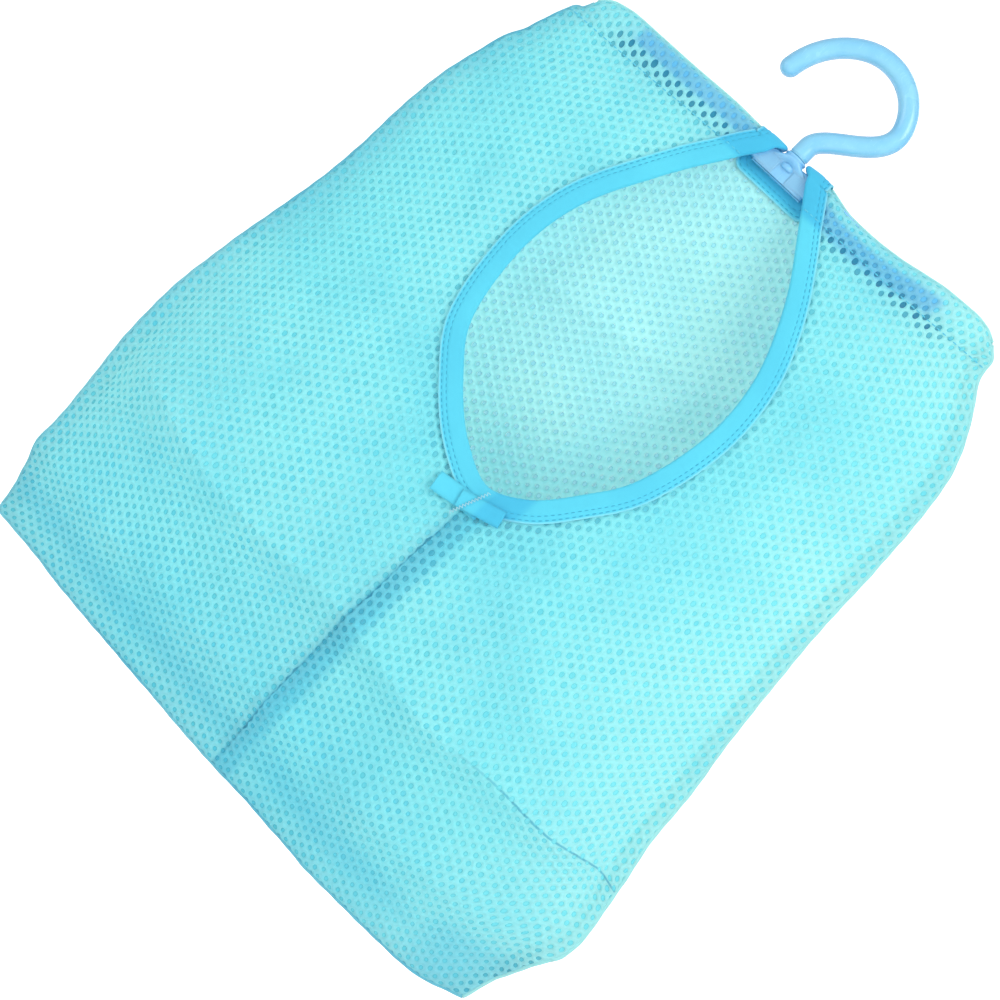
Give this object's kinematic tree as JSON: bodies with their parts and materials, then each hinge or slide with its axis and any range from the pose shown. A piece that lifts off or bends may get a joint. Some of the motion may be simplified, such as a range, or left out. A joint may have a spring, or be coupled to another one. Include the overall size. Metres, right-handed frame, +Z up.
{
  "type": "hanging mesh storage bag",
  "caption": "Hanging storage bag of knitted mesh with a taped front mouth, a boxed bottom and a plastic hanger whose round hook swivels in its hub.",
  "frame": {"origin": "inner crown of the hook, on the hub's vertical axis: the point where the bag rests on a rod", "axes": "+Z up along the swivel axis; the bag's front with its mouth faces -Y; +X is to the right of a viewer facing the front; the bag hangs below the origin"},
  "size_m": [0.308, 0.057, 0.3929],
  "materials": {
    "hook_plastic": "glossy pale blue, moulded",
    "hanger_plastic": "glossy periwinkle blue, moulded",
    "mesh_cloth": "warp-knitted net of pale cyan yarn with round holes",
    "binding_tape": "folded bias tape, cyan, slight sheen",
    "seam_thread": "folded cloth and thread, cyan",
    "pale_thread": "near-white thread"
  },
  "bodies": {
    "hook_body": {"hook": "hook_plastic"},
    "bag": {"hanger_body": "hanger_plastic", "back_panel": "mesh_cloth", "front_left_panel": "mesh_cloth", "front_right_panel": "mesh_cloth", "mouth_binding": "binding_tape", "tape_tail_left": "binding_tape", "tape_tail_right": "binding_tape", "bar_tack": "pale_thread", "centre_seam": "seam_thread", "bottom_seam": "seam_thread", "side_seam_left": "seam_thread", "side_seam_right": "seam_thread", "corner_seam_left": "seam_thread", "corner_seam_right": "seam_thread", "top_seam_left": "seam_thread", "top_seam_right": "seam_thread", "sleeve_stitch_left": "seam_thread", "sleeve_stitch_right": "seam_thread"}
  },
  "joints": [
    {"name": "hook_swivel", "type": "hinge", "parent": "hook_body", "child": "bag", "pos_m": [0, 0, 0], "axis": [0, 0, 1], "continuous": true}
  ]
}
